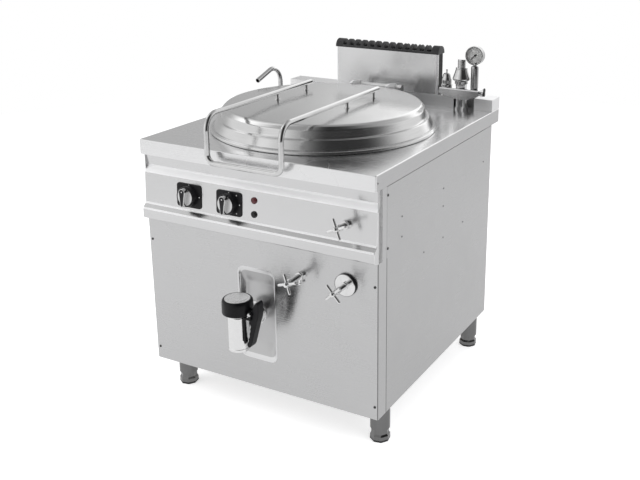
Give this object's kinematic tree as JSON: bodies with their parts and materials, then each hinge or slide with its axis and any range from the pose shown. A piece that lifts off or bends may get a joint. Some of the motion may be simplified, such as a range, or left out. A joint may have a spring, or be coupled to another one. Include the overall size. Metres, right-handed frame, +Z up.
{
  "type": "boiling pan",
  "caption": "Floor-standing gas boiling pan with a steam-jacketed round vessel, hinged lid with a front bar handle, swivel spout, drain tap and safety group.",
  "frame": {"origin": "on the floor, under the middle of the worktop", "axes": "+X to the right along the front, +Y from the front to the wall, +Z up"},
  "size_m": [0.8016, 1.0235, 1.0655],
  "materials": {
    "frame_steel": "satin",
    "side_steel": "satin",
    "rear_steel": "satin",
    "front_steel": "satin",
    "control_steel": "satin",
    "top_steel": "satin",
    "flue_steel": "satin",
    "flue_black": "matt enamel",
    "duct_steel": "dull",
    "vessel_steel": "fine satin",
    "insulation_wool": "fibrous",
    "gas_brass": "satin",
    "switch_white": "matt",
    "lid_steel": "fine satin",
    "handle_steel": "polished",
    "hinge_steel": "polished",
    "gasket_rubber": "matt",
    "spout_chrome": "polished",
    "plate_black": "satin",
    "knob_black": "satin",
    "lamp_red": "gloss",
    "button_black": "gloss",
    "tap_chrome": "polished",
    "drain_steel": "satin",
    "lever_black": "satin",
    "screw_steel": "satin",
    "safety_steel": "satin",
    "valve_chrome": "polished",
    "gauge_steel": "polished",
    "dial_white": "matt",
    "needle_black": "matt",
    "gauge_clear": "clear",
    "purge_black": "satin",
    "foot_steel": "dull",
    "foot_black": "matt"
  },
  "bodies": {
    "cabinet": {"base_frame": "frame_steel", "left_side_panel": "side_steel", "right_side_panel": "side_steel", "rear_panel": "rear_steel", "front_panel": "front_steel", "tap_recess": "front_steel", "control_panel": "control_steel", "worktop": "top_steel", "rear_upstand": "top_steel", "flue_housing": "flue_steel", "flue_cap": "flue_black", "combustion_chamber": "duct_steel", "burner_tubes": "duct_steel", "vessel": "vessel_steel", "steam_jacket": "vessel_steel", "drain_pipe": "vessel_steel", "insulation": "insulation_wool", "gas_manifold": "gas_brass", "gas_valve": "gas_brass", "power_switch": "switch_white", "hinge_pillars": "hinge_steel", "hinge_tube": "hinge_steel", "spout_base": "spout_chrome", "knob_plates": "plate_black", "indicator_lamp": "lamp_red", "igniter_body": "button_black", "panel_tap_body": "tap_chrome", "level_tap_body": "tap_chrome", "jacket_tap_body": "tap_chrome", "drain_tap_body": "drain_steel", "drain_cap": "drain_steel", "drain_collar": "lever_black", "screws": "screw_steel", "safety_manifold": "safety_steel", "safety_valve": "valve_chrome", "vacuum_breaker": "valve_chrome", "gauge_case": "gauge_steel", "gauge_dial": "dial_white", "gauge_glass": "gauge_clear", "foot_sleeves": "foot_steel", "foot_pads": "foot_black"},
    "lid": {"lid_shell": "lid_steel", "lid_liner": "vessel_steel", "lid_gasket": "gasket_rubber", "lid_handle": "handle_steel", "handle_posts": "handle_steel", "hinge_arms": "hinge_steel"},
    "spout": {"spout": "spout_chrome"},
    "switch_knob": {"switch_knob": "knob_black"},
    "gas_knob": {"gas_knob": "knob_black"},
    "igniter_button": {"igniter_button": "button_black"},
    "panel_tap_handle": {"panel_tap_handle": "tap_chrome"},
    "level_tap_handle": {"level_tap_handle": "tap_chrome"},
    "jacket_tap_handle": {"jacket_tap_handle": "tap_chrome"},
    "drain_lever": {"drain_lever": "lever_black"},
    "drain_plunger": {"drain_plunger": "drain_steel"},
    "drain_catch": {"drain_catch": "lever_black"},
    "vacuum_pin": {"vacuum_pin": "valve_chrome"},
    "gauge_needle": {"gauge_needle": "needle_black"},
    "purge_lever": {"purge_lever": "purge_black"}
  },
  "joints": [
    {"name": "lid_turn", "type": "hinge", "parent": "cabinet", "child": "lid", "pos_m": [0, 0.315, 0.915], "axis": [-1, 0, 0], "range_deg": [0, 90]},
    {"name": "spout_turn", "type": "hinge", "parent": "cabinet", "child": "spout", "pos_m": [-0.361, 0.255, 0.87], "axis": [0, 0, 1], "range_deg": [-90, 75]},
    {"name": "switch_knob_turn", "type": "hinge", "parent": "cabinet", "child": "switch_knob", "pos_m": [-0.229, -0.43918, 0.696], "axis": [0, 0.9981, -0.0611], "range_deg": [0, 90]},
    {"name": "gas_knob_turn", "type": "hinge", "parent": "cabinet", "child": "gas_knob", "pos_m": [-0.084, -0.43918, 0.696], "axis": [0, 0.9981, -0.0611], "range_deg": [0, 130]},
    {"name": "igniter_button_slide", "type": "slide", "parent": "cabinet", "child": "igniter_button", "axis": [0, 0.9981, -0.0611], "range_m": [0, 0.003], "stiffness_N_per_m": 400},
    {"name": "panel_tap_handle_turn", "type": "hinge", "parent": "cabinet", "child": "panel_tap_handle", "pos_m": [0.306, -0.439, 0.699], "axis": [0, -0.9981, 0.0611], "range_deg": [0, 540]},
    {"name": "level_tap_handle_turn", "type": "hinge", "parent": "cabinet", "child": "level_tap_handle", "pos_m": [0.154, -0.434, 0.519], "axis": [0, -1, 0], "range_deg": [0, 540]},
    {"name": "jacket_tap_handle_turn", "type": "hinge", "parent": "cabinet", "child": "jacket_tap_handle", "pos_m": [0.299, -0.434, 0.519], "axis": [0, -1, 0], "range_deg": [0, 540]},
    {"name": "drain_lever_turn", "type": "hinge", "parent": "cabinet", "child": "drain_lever", "pos_m": [0.049, -0.528, 0.418], "axis": [0, -1, 0], "range_deg": [0, 40]},
    {"name": "drain_plunger_slide", "type": "slide", "parent": "cabinet", "child": "drain_plunger", "axis": [0, 0, 1], "range_m": [0, 0.012]},
    {"name": "drain_catch_turn", "type": "hinge", "parent": "drain_lever", "child": "drain_catch", "pos_m": [0.049, -0.528, 0.418], "axis": [0, -1, 0], "range_deg": [0, 4]},
    {"name": "vacuum_pin_slide", "type": "slide", "parent": "cabinet", "child": "vacuum_pin", "axis": [0, 0, 1], "range_m": [0, 0.004]},
    {"name": "gauge_needle_turn", "type": "hinge", "parent": "cabinet", "child": "gauge_needle", "pos_m": [0.33, 0.39, 1.034], "axis": [0, 1, 0], "range_deg": [0, 270]},
    {"name": "purge_lever_turn", "type": "hinge", "parent": "cabinet", "child": "purge_lever", "pos_m": [0.3633, 0.39, 0.905], "axis": [1, 0, 0], "range_deg": [0, 90]}
  ],
  "couplings": [
    {"joint": "drain_plunger_slide", "follows": "drain_lever_turn", "m_per_rad": 0.01718}
  ]
}
